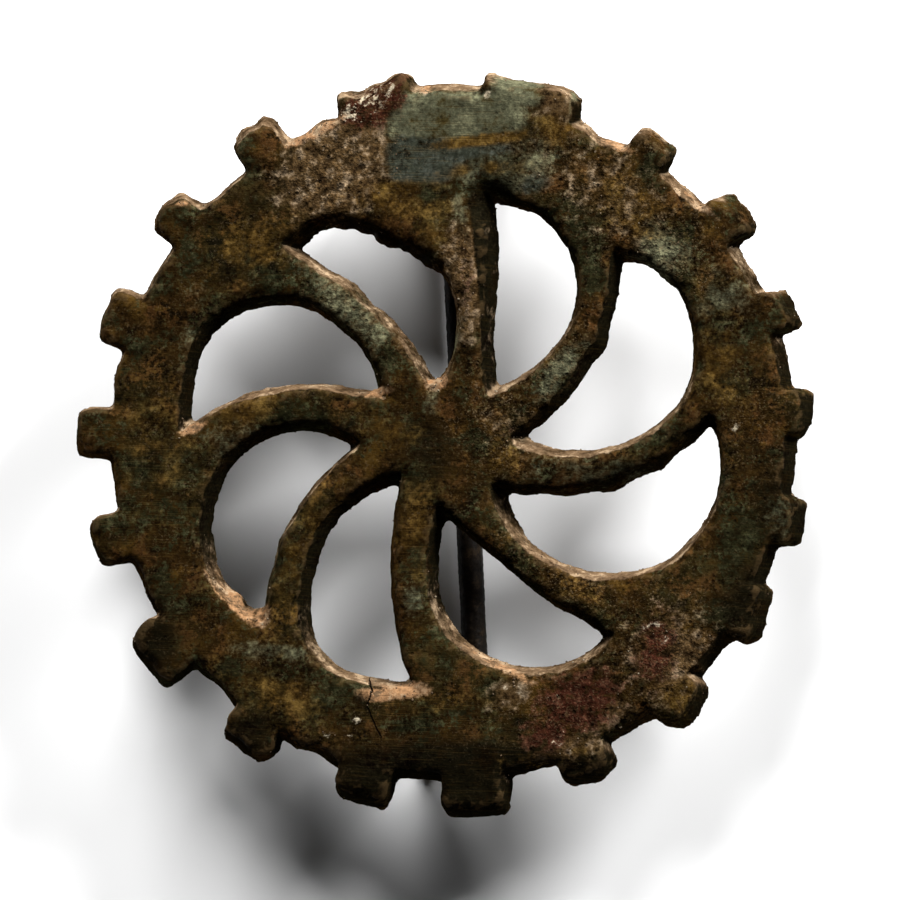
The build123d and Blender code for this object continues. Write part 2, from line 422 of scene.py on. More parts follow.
def move_points(mesh, points):
    mesh.attributes["position"].data.foreach_set("vector", points.astype(np.float32).ravel())
    mesh.update()


def mesh_normals(mesh):
    normals = np.empty(len(mesh.vertices) * 3, np.float32)
    mesh.vertex_normals.foreach_get("vector", normals)
    return normals.reshape(-1, 3).astype(float)


def write_mask(mesh, name, values):
    mesh.attributes.new(name, "FLOAT", "POINT").data.foreach_set("value", values.astype(np.float32))


def read_mask(mesh, name):
    values = np.empty(len(mesh.vertices), np.float32)
    mesh.attributes[name].data.foreach_get("value", values)
    return values


def keep_inside(mesh, low, high):
    """Hold every point inside the CAD's box."""
    move_points(mesh, np.clip(mesh_points(mesh), np.array(low), np.array(high)))


def new_piece(name, mesh):
    piece = bpy.data.objects.new(name, mesh)
    bpy.context.scene.collection.objects.link(piece)
    return piece


def bake_modifiers(piece):
    """Turn what the modifiers make into the piece's own mesh, and remove them."""
    graph = bpy.context.evaluated_depsgraph_get()
    graph.update()
    made = bpy.data.meshes.new_from_object(
        piece.evaluated_get(graph), preserve_all_data_layers=True, depsgraph=graph)
    plain = piece.data
    piece.modifiers.clear()
    piece.data = made
    bpy.data.meshes.remove(plain)
    made.name = piece.name


def merged_copy(node, name):
    """A copy of a CAD node with its loose triangles joined."""
    form = bmesh.new()
    form.from_mesh(frame["nodes"][node].data)
    bmesh.ops.remove_doubles(form, verts=form.verts, dist=WELD_DISTANCE)
    mesh = bpy.data.meshes.new(name)
    form.to_mesh(mesh)
    form.free()
    return new_piece(name, mesh)


def add_lumps(piece):
    """Add the lumps of extra metal and crust as overlapping balls, which the remesh melts in."""
    form = bmesh.new()
    form.from_mesh(piece.data)
    for lump in LUMPS:
        place = Matrix.Translation(photo_point(lump.px, lump.py, face_height - lump.below * MM))
        turn = Matrix.Rotation(math.radians(lump.turn), 4, "Z")
        size = Matrix.Diagonal((lump.across * MM, lump.along * MM, lump.upright * MM, 1))
        bmesh.ops.create_icosphere(form, subdivisions=3, radius=1, matrix=place @ turn @ size)
    form.to_mesh(piece.data)
    form.free()


def remesh(piece, size):
    remesher = piece.modifiers.new("Even mesh", "REMESH")
    remesher.mode = "VOXEL"
    remesher.voxel_size = size
    remesher.use_smooth_shade = True
    bake_modifiers(piece)


def push_outline(mesh, crust):
    """Thicken the plate's walls by its crust, and bend the outline where the maker or wear did."""
    points = mesh_points(mesh)
    on_plate = rise(points, -0.4, 0)
    points[:, :2] += mesh_normals(mesh)[:, :2] * (on_plate * crust)[:, None]
    column, row = photo_pixels(points)
    for push in PUSHES:
        reach = np.hypot(column - push.px, row - push.py) / push.reach
        share = (1 - smoothstep(0, 1, reach)) * on_plate * PHOTO_PIXEL
        over_back = np.clip((points[:, 2] - back_height) / (face_height - back_height), 0, 1)
        points += share[:, None] * (push.right * np.array(view_right) + push.up * np.array((0, 1, 0)))
        points[:, 2] -= share * push.down * over_back
    move_points(mesh, points)


def paint_masks(mesh):
    """Write where each colour and roughness lies on the disc, for its surface and its material."""
    points = mesh_points(mesh)
    normals = mesh_normals(mesh)
    column, row = photo_pixels(points)
    above_back = rise(points, 0.1, 0.9)
    masks = {tint: np.zeros(len(points)) for tint in PATCHES}
    for tint, patches in PATCHES.items():
        for patch in patches:
            strength = patch_strength(patch, column, row) * above_back
            masks[tint] = np.maximum(masks[tint], strength)

    # Walls that face right get painted shade: they are painted nearly black, like the wall beside the arm at
    # the top
    upright = 1 - smoothstep(0.42, 0.74, np.abs(normals[:, 2]))
    turned_right = np.clip(normals[:, 0] - 0.6 * np.maximum(normals[:, 1], 0), 0, 1)
    shade = np.maximum(masks.pop("shade"), upright * turned_right)
    bare = masks.pop("bare")
    # The painted shade goes into the dark mask, and the other stains give way under it
    masks["dark"] = np.maximum(masks["dark"], 0.95 * shade)
    for name, values in masks.items():
        write_mask(mesh, name, values if name == "dark" else values * (1 - shade))
    write_mask(mesh, "upright", upright)

    # Soil lies on walls, thick on those that face the top of the picture and thin on those turned away:
    # partly soil and partly painted light and shade by the walls' facing. There is less where they are
    # stained or bare
    soil_and_painted_shading = upright * np.clip(0.22 + 0.78 * normals[:, 1], 0.05, 1)
    soil_and_painted_shading *= 1 - 0.8 * np.maximum(np.maximum(masks["green"], masks["red"]), bare)
    write_mask(mesh, "wall", soil_and_painted_shading * rise(points, -0.2, 0.1))
    write_mask(mesh, "play", 0.2 + 0.8 * rise(points, -1.5, 0))
    write_mask(mesh, "crack", np.where(above_back > 0, crack_offset(column, row), FAR_FROM_CRACK))


class Value:
    """What a socket puts out, which takes part in sums. A vector times a number is scaled."""

    def __init__(self, graph, socket):
        self.graph = graph
        self.socket = socket
        self.is_vector = socket.type == "VECTOR"

    def combined(self, operation, first, second):
        join = self.graph.vector if self.is_vector else self.graph.math
        return join(operation, first, second)

    def __add__(self, other):
        return self.combined("ADD", self, other)

    def __sub__(self, other):
        return self.combined("SUBTRACT", self, other)

    def __rsub__(self, other):
        return self.combined("SUBTRACT", other, self)

    def __mul__(self, other):
        if self.is_vector:
            scaled = {"Vector": self, "Scale": other}
            return self.graph.output("ShaderNodeVectorMath", scaled, operation="SCALE")
        return self.graph.math("MULTIPLY", self, other)

    def __truediv__(self, other):
        return self.graph.math("DIVIDE", self, other)


class Graph:
    """The nodes of one tree, placed and linked by calls."""

    def __init__(self, tree):
        self.tree = tree

    def add(self, kind, inputs=(), **settings):
        """Add a node, set its properties, and feed its inputs."""
        node = self.tree.nodes.new(kind)
        for name, value in settings.items():
            setattr(node, name, value)
        self.feed_all(node, inputs)
        return node

    def output(self, kind, inputs=(), key=0, **settings):
        """Add a node in the same way, and give what one of its outputs puts out."""
        return Value(self, self.add(kind, inputs, **settings).outputs[key])

    def feed(self, socket, value):
        if isinstance(value, Value):
            self.tree.links.new(value.socket, socket)
        else:
            socket.default_value = value

    def feed_all(self, node, inputs):
        """Feed a node's inputs, by their names or places."""
        for key, value in dict(inputs).items():
            self.feed(node.inputs[key], value)

    def given(self, name):
        """An input of the group that this tree makes."""
        return Value(self, self.inlet.outputs[name])

    def give(self, name, value):
        """Feed an output of the group that this tree makes."""
        self.feed(self.outlet.inputs[name], value)

    def math(self, operation, *values):
        return self.output("ShaderNodeMath", enumerate(values), operation=operation)

    def vector(self, operation, *values):
        key = "Value" if operation == "DOT_PRODUCT" else "Vector"
        return self.output("ShaderNodeVectorMath", enumerate(values), key, operation=operation)

    def step(self, value, low, high, bottom=0.0, top=1.0):
        """Rises smoothly from the bottom to the top while the value goes from low to high."""
        ends = enumerate((value, low, high, bottom, top))
        return self.output("ShaderNodeMapRange", ends, interpolation_type="SMOOTHSTEP")

    def fall(self, value, low, high, top=1.0):
        """Falls smoothly from the top to 0 while the value goes from low to high."""
        return self.step(value, low, high, top, 0.0)

    def mix(self, factor, first, second, blend="MIX"):
        """Mix two colours, by the places of their sockets, whose names the other types share."""
        inputs = {0: factor, 6: first, 7: second}
        return self.output("ShaderNodeMix", inputs, 2, data_type="RGBA", blend_type=blend)

    def shaded(self, colour, level):
        """A colour made darker or lighter by a level."""
        grey = self.output("ShaderNodeCombineColor", {0: level, 1: level, 2: level})
        return self.mix(1.0, colour, grey, "MULTIPLY")

    def spread(self, vector, size, seed):
        """Coordinates that grow by 1 over the given size, moved to a place of their own by the seed."""
        return vector * self.math("DIVIDE", 1.0, size) + [seed * step for step in SEED_STEP]

    def noise(self, vector, size, detail=3.0, roughness=0.6, seed=0):
        """Noise whose largest features have about the given size."""
        place = self.spread(vector, size, seed)
        settings = {"Vector": place, "Scale": 1.0, "Detail": detail, "Roughness": roughness}
        return self.output("ShaderNodeTexNoise", settings)

    def cells(self, vector, size, seed):
        """Distance from the middle of cells of about the given size."""
        settings = {"Vector": self.spread(vector, size, seed), "Scale": 1.0}
        return self.output("ShaderNodeTexVoronoi", settings, "Distance")

    def group(self, tree, **inputs):
        """Place a group node, whose inputs are named with underscores for spaces, and give its outputs."""
        named = {name.replace("_", " "): value for name, value in inputs.items()}
        node = self.add("ShaderNodeGroup", named, node_tree=tree)
        return [Value(self, socket) for socket in node.outputs]

    def bump(self, height, depth):
        """Normals of a relief of the given depth."""
        return self.output("ShaderNodeBump", {"Strength": 1.0, "Distance": depth, "Height": height})

    def own_value(self, name):
        """A value that the mesh carries, in geometry nodes."""
        return self.output("GeometryNodeInputNamedAttribute", {"Name": name}, data_type="FLOAT")

    def own_mask(self, name):
        """A value that the mesh carries, in a material."""
        return self.output("ShaderNodeAttribute", key="Fac", attribute_name=name)

    def feed_value(self, node, value):
        """Feed the one input named Value that a node of many types has in use."""
        self.feed([s for s in node.inputs if s.enabled and s.name == "Value"][0], value)

    def stored(self, geometry, name, value, domain="POINT"):
        """The geometry with a value written on it, in geometry nodes."""
        node = self.add("GeometryNodeStoreNamedAttribute", {"Geometry": geometry, "Name": name},
                        data_type="FLOAT", domain=domain)
        self.feed_value(node, value)
        return Value(self, node.outputs[0])

    def finish(self, geometry):
        """Make instances real, give the geometry the group's material, and put it out."""
        real = self.output("GeometryNodeRealizeInstances", {"Geometry": geometry})
        settings = {"Geometry": real, "Material": self.given("Material")}
        self.give("Geometry", self.output("GeometryNodeSetMaterial", settings))
        return self.tree


def new_group(name, kind, inputs, outputs):
    """An empty group with named sockets, and the graph that fills it."""
    tree = bpy.data.node_groups.new(name, kind)
    for label, socket in inputs.items():
        tree.interface.new_socket(label, in_out="INPUT", socket_type=socket)
    for label, socket in outputs.items():
        tree.interface.new_socket(label, in_out="OUTPUT", socket_type=socket)
    graph = Graph(tree)
    graph.inlet = tree.nodes.new("NodeGroupInput")
    graph.outlet = tree.nodes.new("NodeGroupOutput")
    return graph


FLOAT = "NodeSocketFloat"
COLOR = "NodeSocketColor"
VECTOR = "NodeSocketVector"
GEOMETRY = "NodeSocketGeometry"
MATERIAL = "NodeSocketMaterial"


def weathered_skin_tree():
    """Geometry nodes that wave, pit and chip the surface of a casting, and store how sharp it is."""
    graph = new_group(
        "Weathered skin", "GeometryNodeTree",
        {"Geometry": GEOMETRY, "Sink": FLOAT, "Wave Depth": FLOAT, "Wave Size": FLOAT, "Pit Depth": FLOAT,
         "Pit Size": FLOAT, "Chip Depth": FLOAT, "Chip Size": FLOAT, "Material": MATERIAL},
        {"Geometry": GEOMETRY})

    def blurred(vector, times):
        node = graph.add("GeometryNodeBlurAttribute", {"Iterations": times}, data_type="FLOAT_VECTOR")
        graph.feed_value(node, vector)
        return Value(graph, [s for s in node.outputs if s.enabled][0])

    def bulge(times):
        """How far a place stands out of its blurred neighbourhood."""
        return graph.vector("DOT_PRODUCT", place - blurred(place, times), normal)

    place = graph.output("GeometryNodeInputPosition")
    normal = graph.output("GeometryNodeInputNormal")
    wall = graph.own_value("wall")
    play = graph.own_value("play")
    wave = graph.noise(place, graph.given("Wave Size"), detail=2.0, roughness=0.55) - 0.5
    wave = wave * graph.given("Wave Depth") * (1.0 - wall * 0.2)
    strength = 0.6 - graph.own_value("smooth") * 0.45 + graph.own_value("rough") * 1.3 - wall * 0.2
    pit = graph.noise(place, graph.given("Pit Size"), seed=1) - 0.5
    pit = pit * graph.given("Pit Depth") * strength
    sharp = graph.step(bulge(5), 0.01 * MM, 0.07 * MM)
    chip = graph.step(graph.noise(place, graph.given("Chip Size"), seed=2), 0.45, 0.68)
    chip = chip * sharp * graph.given("Chip Depth")
    move = (wave + pit - chip) * play - graph.given("Sink")
    rounded_off = (blurred(place, 1) - place) * play
    offset = normal * move + rounded_off
    skin = graph.output("GeometryNodeSetPosition", {"Geometry": graph.given("Geometry"), "Offset": offset})

    # The same fields are worked out anew on the moved surface, where an edge of 1 stands out by 0.1 mm
    skin = graph.stored(skin, "edge", bulge(4) / (0.1 * MM))
    for seed, (name, size) in enumerate(CLOUD_SIZES.items(), start=3):
        skin = graph.stored(skin, name, graph.noise(place, size, detail=5.0, seed=seed))
    return graph.finish(skin)


def soil_crumbs_tree():
    """Geometry nodes that scatter small grains where the surface holds soil."""
    graph = new_group(
        "Soil crumbs", "GeometryNodeTree",
        {"Geometry": GEOMETRY, "Crumbs Per Area": FLOAT, "Smallest": FLOAT, "Largest": FLOAT,
         "Seed": "NodeSocketInt", "Material": MATERIAL},
        {"Geometry": GEOMETRY})
    seed = graph.given("Seed")

    def random_vector(low, high):
        ends = {0: (low,) * 3, 1: (high,) * 3, "Seed": seed}
        return graph.output("FunctionNodeRandomValue", ends, data_type="FLOAT_VECTOR")

    def random_number(low, high, seed):
        ends = {2: low, 3: high, "Seed": seed}
        return graph.output("FunctionNodeRandomValue", ends, 1, data_type="FLOAT")

    density = graph.own_value("crumbs") * graph.given("Crumbs Per Area")
    ground = {"Mesh": graph.given("Geometry"), "Density": density, "Seed": seed}
    size = random_number(graph.given("Smallest"), graph.given("Largest"), seed)
    placed = graph.output("GeometryNodeInstanceOnPoints", {
        "Points": graph.output("GeometryNodeDistributePointsOnFaces", ground, distribute_method="RANDOM"),
        "Instance": graph.output("GeometryNodeMeshIcoSphere", {"Radius": 1.0, "Subdivisions": 1}),
        "Rotation": random_vector(0.0, math.tau),
        "Scale": random_vector(0.6, 1.3) * size,
    })
    return graph.finish(graph.stored(placed, "tone", random_number(0.0, 1.0, seed + 3), "INSTANCE"))


def add_nodes(piece, tree, **values):
    """Add a geometry nodes modifier, and set its inputs by their sockets' identifiers."""
    modifier = piece.modifiers.new(tree.name, "NODES")
    modifier.node_group = tree
    for item in tree.interface.items_tree:
        name = item.name.replace(" ", "_")
        if item.in_out == "INPUT" and name in values:
            modifier[item.identifier] = values[name]


# Effects that the materials share

EFFECTS = {}


def shared_effects():
    """The shader groups that several finishes use, by name, built on first use."""
    if not EFFECTS:
        EFFECTS.update(mottle=mottle_group(), ragged=ragged_mask_group(), grain=cast_grain_group(),
                       scratches=scratches_group())
    return EFFECTS


def mottle_group():
    """Three tones of one colour, in clouds that fine noise breaks up and shades."""
    graph = new_group("Mottled tone", "ShaderNodeTree",
                      {"Clouds": FLOAT, "Fine": FLOAT, "Dark": COLOR, "Middle": COLOR, "Light": COLOR,
                       "Contrast": FLOAT},
                      {"Color": COLOR})
    fine = graph.given("Fine") - 0.5
    clouds = fine * 0.4 + graph.given("Clouds")
    tone = graph.mix(graph.step(clouds, 0.33, 0.5), graph.given("Dark"), graph.given("Middle"))
    tone = graph.mix(graph.step(clouds, 0.5, 0.68), tone, graph.given("Light"))
    level = graph.math("MAXIMUM", fine * graph.given("Contrast") + 1.0, 0.15)
    graph.give("Color", graph.shaded(tone, level))
    return graph.tree


def ragged_mask_group():
    """A soft mask made crisp, with an edge that noise breaks up."""
    graph = new_group("Ragged mask", "ShaderNodeTree",
                      {"Mask": FLOAT, "Noise": FLOAT, "Raggedness": FLOAT, "Crispness": FLOAT},
                      {"Mask": FLOAT})
    mask = graph.given("Mask")
    value = mask + (graph.given("Noise") - 0.5) * graph.given("Raggedness")
    half = graph.math("DIVIDE", 0.5, graph.given("Crispness"))
    graph.give("Mask", graph.step(value, 0.5 - half, half + 0.5) * graph.step(mask, 0.0, 0.12))
    return graph.tree


def cast_grain_group():
    """Height of a grainy, pitted cast skin, from 0 to about 1, and where its pits are."""
    graph = new_group("Cast grain", "ShaderNodeTree",
                      {"Vector": VECTOR, "Size": FLOAT, "Roughness": FLOAT, "Pits": FLOAT},
                      {"Height": FLOAT, "Pits": FLOAT})
    place = graph.given("Vector")
    size = graph.given("Size")
    fine = graph.noise(place, size * 3.2, detail=4.0, roughness=0.62, seed=1)
    grains = graph.fall(graph.cells(place, size * 1.1, seed=3), 0.15, 0.75)
    holes = graph.fall(graph.cells(place, size * 4.5, seed=4), 0.08, 0.22) * graph.given("Pits")
    graph.give("Height", grains * (graph.given("Roughness") * 0.1) + fine - holes * 0.5)
    graph.give("Pits", holes)
    return graph.tree


def scratches_group():
    """Fine parallel scratches, broken along their length."""
    graph = new_group("Fine scratches", "ShaderNodeTree",
                      {"Vector": VECTOR, "Spacing": FLOAT, "Length": FLOAT, "Turn": FLOAT},
                      {"Lines": FLOAT})
    inputs = {"Vector": graph.given("Vector"), "Angle": graph.given("Turn")}
    turned = graph.output("ShaderNodeVectorRotate", inputs, rotation_type="Z_AXIS")
    parts = graph.add("ShaderNodeSeparateXYZ", {0: turned})
    along = Value(graph, parts.outputs[0]) / graph.given("Length")
    across = Value(graph, parts.outputs[1]) / graph.given("Spacing")
    stretched = graph.output("ShaderNodeCombineXYZ", {0: along, 1: across})
    lines = graph.noise(stretched, 1.0, detail=2.0, seed=8)
    graph.give("Lines", graph.step(lines, 0.54, 0.68))
    return graph.tree


def start_material(name):
    """A material with an empty tree but for its surface, and the graph that fills it."""
    material = bpy.data.materials.new(name)
    material.use_nodes = True
    material.node_tree.nodes.clear()
    graph = Graph(material.node_tree)
    surface = graph.add("ShaderNodeBsdfPrincipled")
    graph.add("ShaderNodeOutputMaterial", {"Surface": Value(graph, surface.outputs[0])})
    place = graph.output("ShaderNodeTexCoord", key="Object")
    return material, graph, surface, place


# A stain: the mask that says where it is, its three tones, the clouds that vary it and break up its
# edge, and how ragged and how crisp that edge is
Tint = namedtuple("Tint", "mask dark middle light clouds ragged crisp")


def bronze_material(look):
    """Old cast bronze: brown and olive patina, stains, sandy walls that also carry painted light and shade
    by their facing, painted shade in hollows, worn edges and pits.
    """
    shared = shared_effects()
    material, graph, surface, place = start_material("old bronze")
    fine = graph.noise(place, 0.32 * MM, detail=4.0, roughness=0.7, seed=1)
    ripple = fine - 0.5
    clouds = {name: graph.own_mask(name) for name in CLOUD_SIZES}
    broken = {name: field + ripple * 0.6 for name, field in clouds.items()}

    def tone(field, dark, middle, light, contrast=2.0):
        return graph.group(shared["mottle"], Clouds=clouds[field], Fine=fine, Dark=dark, Middle=middle,
                           Light=light, Contrast=contrast)[0]

    def ragged(mask, field, raggedness, crispness):
        return graph.group(shared["ragged"], Mask=mask, Noise=broken[field], Raggedness=raggedness,
                           Crispness=crispness)[0]

    # Ground of dark brown, with olive clouds, dark green stains and rusty puffs
    colour = tone("clouds", look.brown_dark, look.brown, look.gold)
    olive = tone("puffs", look.black_green, look.olive, look.olive_light)
    colour = graph.mix(graph.step(broken["drift"], 0.46, 0.60), colour, olive)
    deep = tone("flecks", look.black_green, look.deep, look.deep_light)
    colour = graph.mix(graph.step(broken["stains"], 0.51, 0.60, top=0.85), colour, deep)
    rusty = graph.step(broken["puffs"], 0.50, 0.60) * graph.fall(clouds["stains"], 0.42, 0.54, top=0.8)
    colour = graph.mix(rusty, colour, tone("flecks", look.brown, look.rust, look.gold))

    # Stains and crusts
    for tint in (
        # The dark tint paints the nearly black zones and the painted shade on walls
        Tint("dark", look.black, look.black_green, look.brown_dark, "clouds", 0.8, 1.6),
        Tint("pink", look.pink_dark, look.pink, look.pink_light, "flecks", 1.3, 2.0),
        Tint("green", look.olive_light, look.green, look.green_light, "clouds", 1.3, 1.8),
        Tint("blue", look.black_green, look.blue, look.blue_light, "puffs", 1.0, 2.0),
        Tint("gold", look.brown, look.gold, look.gold_light, "puffs", 1.3, 1.6),
        Tint("red", look.pink_dark, look.red, look.red_light, "flecks", 1.5, 2.6),
        Tint("cream", look.sand_dark, look.cream, look.cream_light, "flecks", 2.2, 3.5),
    ):
        stain = tone(tint.clouds, tint.dark, tint.middle, tint.light)
        cover = ragged(graph.own_mask(tint.mask), tint.clouds, tint.ragged, tint.crisp)
        colour = graph.mix(cover, colour, stain)

    # Grain, pits and scratches
    rough = graph.own_mask("rough")
    smooth = graph.own_mask("smooth")
    grain, pits = graph.group(shared["grain"], Vector=place, Size=0.16 * MM, Roughness=rough, Pits=0.6)
    relief = graph.step(grain, 0.36, 0.72) * 1.3 - 0.55
    colour = graph.shaded(colour, relief * (rough * 0.85 + 0.15) + 1.0)
    lines = graph.group(shared["scratches"], Vector=place, Spacing=0.09 * MM, Length=2.5 * MM, Turn=0.04)[0]
    scratches = lines * (smooth * 0.3 + 0.18)
    colour = graph.mix(scratches * 0.45, colour, look.gold_light)
    colour = graph.mix(pits * 0.7, colour, look.black)

    # Small crisp flecks: light ones, partly light grains and partly painted glints, and dark ones
    speck = graph.noise(place, 0.15 * MM, detail=2.0, seed=2)
    amount = (rough * 0.30 + 0.15) * (1.0 - graph.own_mask("dark") * 0.75)
    amount = amount * graph.step(clouds["flecks"], 0.35, 0.7, bottom=0.15, top=1.2)
    colour = graph.mix(graph.step(speck, 0.57, 0.64) * amount, colour, look.glint_fleck)
    colour = graph.mix(graph.fall(speck, 0.36, 0.43, top=0.8) * amount, colour, look.black)

    # Worn edges; sandy walls, lighter as painted light where they face the top of the picture; and hollows,
    # painted near black as painted shade off the walls and filled with pale soil on them
    edge = graph.own_mask("edge")
    worn = ragged(graph.step(edge, 0.2, 0.9), "flecks", raggedness=1.4, crispness=1.2)
    colour = graph.mix(worn * 0.3, colour, look.edge)
    # The wall mask lays soil by the walls' facing, so it also paints light and shade on them
    sides = graph.own_mask("wall")
    wall = ragged(sides * 0.85, "puffs", raggedness=0.9, crispness=1.8)
    sand = tone("puffs", look.sand_dark, look.sand, look.sand_light, contrast=0.7)
    colour = graph.mix(wall, colour, sand)
    hollow_shade_and_soil = graph.mix(graph.step(sides, 0.25, 0.6), look.black, look.sand_light)
    hollow = graph.fall(edge, -0.6, -0.1, top=0.65) * (1.0 - sides * 0.5)
    colour = graph.mix(hollow, colour, hollow_shade_and_soil)

    # Soil in the corners
    soil = ragged(graph.own_mask("soil"), "flecks", raggedness=0.9, crispness=2.5)
    earth = tone("puffs", look.sand, look.orange, look.sand_light, contrast=1.6)
    colour = graph.mix(soil * 0.85, colour, earth)

    # The crack, a dark line that wanders a little
    offset = graph.own_mask("crack") + ripple * (0.3 * MM)
    crack = graph.fall(graph.math("ABSOLUTE", offset), 0.02 * MM, 0.09 * MM)

    # Relief, and gloss where the metal is bare
    dull = graph.math("MAXIMUM", wall, rough)
    plain = graph.math("MAXIMUM", dull, graph.own_mask("upright"))
    height = grain * (dull * 1.8 + 0.9) * (1.0 - smooth * 0.6) * (1.0 - sides * 0.5)
    height = height - scratches * 0.25 + speck * (rough * 0.25 + 0.1) - crack * 1.5
    graph.feed_all(surface, {
        "Base Color": graph.mix(crack, colour, look.black),
        "Roughness": dull * 0.2 + (clouds["flecks"] * 0.35 + 0.36),
        "Metallic": 0.3 - plain * 0.3,
        "Specular IOR Level": 0.0,
        "Normal": graph.bump(height, look.grain_depth),
    })
    return material


def dark_metal_material(look):
    """The pin and axle: nearly black metal with a brown bloom and small pits, darkened partly as painted
    shade from the disc above.
    """
    shared = shared_effects()
    material, graph, surface, place = start_material("dark corroded metal")
    fine = graph.noise(place, 0.15 * MM, roughness=0.7, seed=1)
    clouds = graph.noise(place, 1.2 * MM, seed=2)
    tone = graph.group(shared["mottle"], Clouds=clouds, Fine=fine, Dark=look.dark, Middle=look.metal,
                       Light=look.bloom, Contrast=1.6)[0]
    grain, pits = graph.group(shared["grain"], Vector=place, Size=0.12 * MM, Roughness=0.5, Pits=0.8)
    graph.feed_all(surface, {
        "Base Color": graph.mix(pits * 0.7, tone, look.dark),
        "Roughness": fine * 0.4 + 0.25,
        "Specular IOR Level": 0.08,
        "Normal": graph.bump(grain, 0.03 * MM),
    })
    return material


def soil_material(look):
    """Dry sandy soil, each crumb in its own tone."""
    material, graph, surface, place = start_material("dry soil")
    tone = graph.own_mask("tone")
    colour = graph.mix(graph.step(tone, 0.1, 0.6), look.sand_dark, look.sand)
    colour = graph.mix(graph.step(tone, 0.7, 0.95), colour, look.cream)
    noise = graph.noise(place, 0.2 * MM, detail=2.0, seed=5)
    blotch = graph.group(shared_effects()["mottle"], Clouds=noise, Fine=noise, Dark=look.sand_dark,
                         Middle=look.sand, Light=look.cream, Contrast=1.0)[0]
    colour = graph.mix(0.35, colour, blotch)
    graph.feed_all(surface, {"Base Color": colour, "Roughness": 0.95, "Specular IOR Level": 0.2})
    return material


def floor_material(look):
    """Plain pale paper."""
    material, graph, surface, _ = start_material("pale floor")
    graph.feed_all(surface, {"Base Color": look.floor, "Roughness": 0.9, "Specular IOR Level": 0.0})
    return material


def number(name, default, description, **settings):
    return bpy.props.FloatProperty(name=name, default=default, description=description, **settings)


def length(name, default_mm, description):
    return number(name, default_mm * MM, description, unit="LENGTH", subtype="DISTANCE", precision=5)


def metres(name, default, description):
    return number(name, default, description, unit="LENGTH", subtype="DISTANCE")


def angle(name, default_degrees, description):
    return number(name, math.radians(default_degrees), description, subtype="ANGLE", unit="ROTATION")


def watts(name, default, description):
    return number(name, default, description, unit="POWER")


def colour(name, red, green, blue, description):
    return bpy.props.FloatVectorProperty(name=name, description=description, default=(red, green, blue, 1.0),
                                         size=4, min=0.0, max=1.0, subtype="COLOR")


class BroochDiscLook(bpy.types.PropertyGroup):
    """Sizes of the disc's weathering and colours of its patina."""

    mesh_size: length("Mesh size", 0.215, "Width of the faces that the disc's surface is made of")
    sink: length("Sink", 0.07, "How far the whole surface lies inside the cast shape")
    crust: length("Crust", 0.16, "How far crust thickens the walls of the plate")
    wave_depth: length("Wave depth", 0.40, "Depth of the slow waves in the surface")
    wave_size: length("Wave size", 2.2, "Width of the slow waves in the surface")
    pit_depth: length("Pit depth", 0.28, "Depth of the pitting")
    pit_size: length("Pit size", 0.55, "Width of the pitting")
    chip_depth: length("Chip depth", 0.18, "How far worn edges are chipped back")
    chip_size: length("Chip size", 1.3, "Length of the chips along an edge")
    grain_depth: length("Grain depth", 0.09, "Depth of the fine grain of the cast skin")
    brown_dark: colour("Dark brown", 0.0036, 0.0021, 0.0008, "Darkest tone of the ground")
    brown: colour("Brown", 0.0130, 0.0067, 0.0018, "Middle tone of the ground")
    olive: colour("Olive", 0.0120, 0.0082, 0.0024, "Middle tone of the greenish ground")
    olive_light: colour("Light olive", 0.0290, 0.0215, 0.0068, "Light tone of the greenish ground")
    gold: colour("Golden brown", 0.0320, 0.0170, 0.0034, "Golden brown metal")
    gold_light: colour("Light golden brown", 0.0720, 0.0430, 0.0110, "Light golden brown metal")
    edge: colour("Worn edge", 0.0600, 0.0370, 0.0160, "Worn, lighter edges")
    green: colour("Green stain", 0.0440, 0.0442, 0.0255, "Middle tone of the green stains")
    green_light: colour("Light green stain", 0.0880, 0.0860, 0.0490, "Light tone of the green stains")
    blue: colour("Blue-grey stain", 0.0200, 0.0222, 0.0155, "Middle tone of the blue-grey skin")
    blue_light: colour("Light blue-grey stain", 0.0400, 0.0440, 0.0350, "Light tone of the blue-grey skin")
    pink_dark: colour("Dark pinkish brown", 0.0105, 0.0056, 0.0024, "Dark tone of the granular skin")
    pink: colour("Pinkish brown", 0.0400, 0.0235, 0.0095, "Middle tone of the granular skin")
    pink_light: colour("Light pinkish brown", 0.1450, 0.1040, 0.0640, "Light tone of the granular skin")
    red: colour("Red oxide", 0.0185, 0.0056, 0.0030, "Middle tone of the red oxide")
    red_light: colour("Light red oxide", 0.0430, 0.0180, 0.0100, "Light tone of the red oxide")
    sand_dark: colour("Dark soil", 0.0320, 0.0190, 0.0095, "Dark tone of the soil")
    sand: colour("Soil", 0.0800, 0.0500, 0.0270, "Middle tone of the soil")
    sand_light: colour("Light soil", 0.2100, 0.1480, 0.0900, "Light tone of the soil")
    deep: colour("Deep green", 0.0082, 0.0086, 0.0036, "Middle tone of the dark green stains in the ground")
    deep_light: colour("Light deep green", 0.0255, 0.0270, 0.0125, "Light tone of the dark green stains")
    rust: colour("Rust", 0.0360, 0.0160, 0.0050, "Rusty puffs in the ground")
    # Partly painted glints, where the patina's grains would catch the light
    glint_fleck: colour("Flecks", 0.1400, 0.1000, 0.0550, "Small bright flecks of bare metal and grains")
    orange: colour("Orange soil", 0.2000, 0.1080, 0.0520, "Soil in the hub's corner")
    cream: colour("Cream crust", 0.1700, 0.1400, 0.0950, "Middle tone of the cream crust")
    cream_light: colour("Light cream crust", 0.3000, 0.2600, 0.1900, "Light tone of the cream crust")
    black: colour("Black", 0.0020, 0.0013, 0.0008, "Pits and cracks")
    # Also the middle tone of painted shade in the nearly black zones and on walls that face right
    black_green: colour("Black green", 0.0036, 0.0030, 0.0014, "Nearly black zones")


